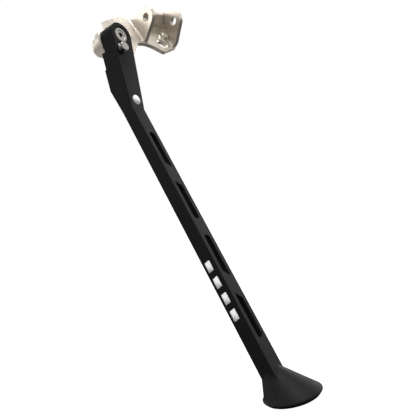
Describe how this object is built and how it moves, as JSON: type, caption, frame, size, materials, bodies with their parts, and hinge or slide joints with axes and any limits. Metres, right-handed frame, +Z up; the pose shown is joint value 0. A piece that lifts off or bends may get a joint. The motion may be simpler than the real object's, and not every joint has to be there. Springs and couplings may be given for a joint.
{
  "type": "motorcycle side stand",
  "caption": "Folding motorcycle side stand: slotted bent alloy leg with a round foot, swinging on a welded steel bracket that bolts round the footrest mount.",
  "frame": {"origin": "on the back of the base plate, the face that lies against the motorcycle's frame", "axes": "+Z up from the ground, +X outward from the motorcycle along the ground, +Y to the rear; the foot stands flat on a horizontal plane"},
  "size_m": [0.2324, 0.2636, 0.3715],
  "materials": {
    "black_alloy": "black anodised, bead blasted",
    "nickel_steel": "dull nickel plate",
    "zinc_steel": "bright zinc plate",
    "bronze": "sintered bearing bronze"
  },
  "bodies": {
    "bracket": {"pivot_bolt": "zinc_steel", "thrust_washer": "zinc_steel", "pivot_hub": "nickel_steel", "pivot_plate": "nickel_steel", "base_plate": "nickel_steel", "bridge_block": "nickel_steel", "ear_front": "nickel_steel", "ear_rear": "nickel_steel", "base_boss": "nickel_steel", "cross_bar": "nickel_steel"},
    "leg": {"leg": "black_alloy", "leg_bush": "bronze", "leg_spring_post": "zinc_steel"}
  },
  "joints": [
    {"name": "leg_swing", "type": "hinge", "parent": "bracket", "child": "leg", "pos_m": [0.03188, -0.08632, -0.00609], "axis": [0.9816, 0, 0.1908], "range_deg": [0, 100]}
  ]
}
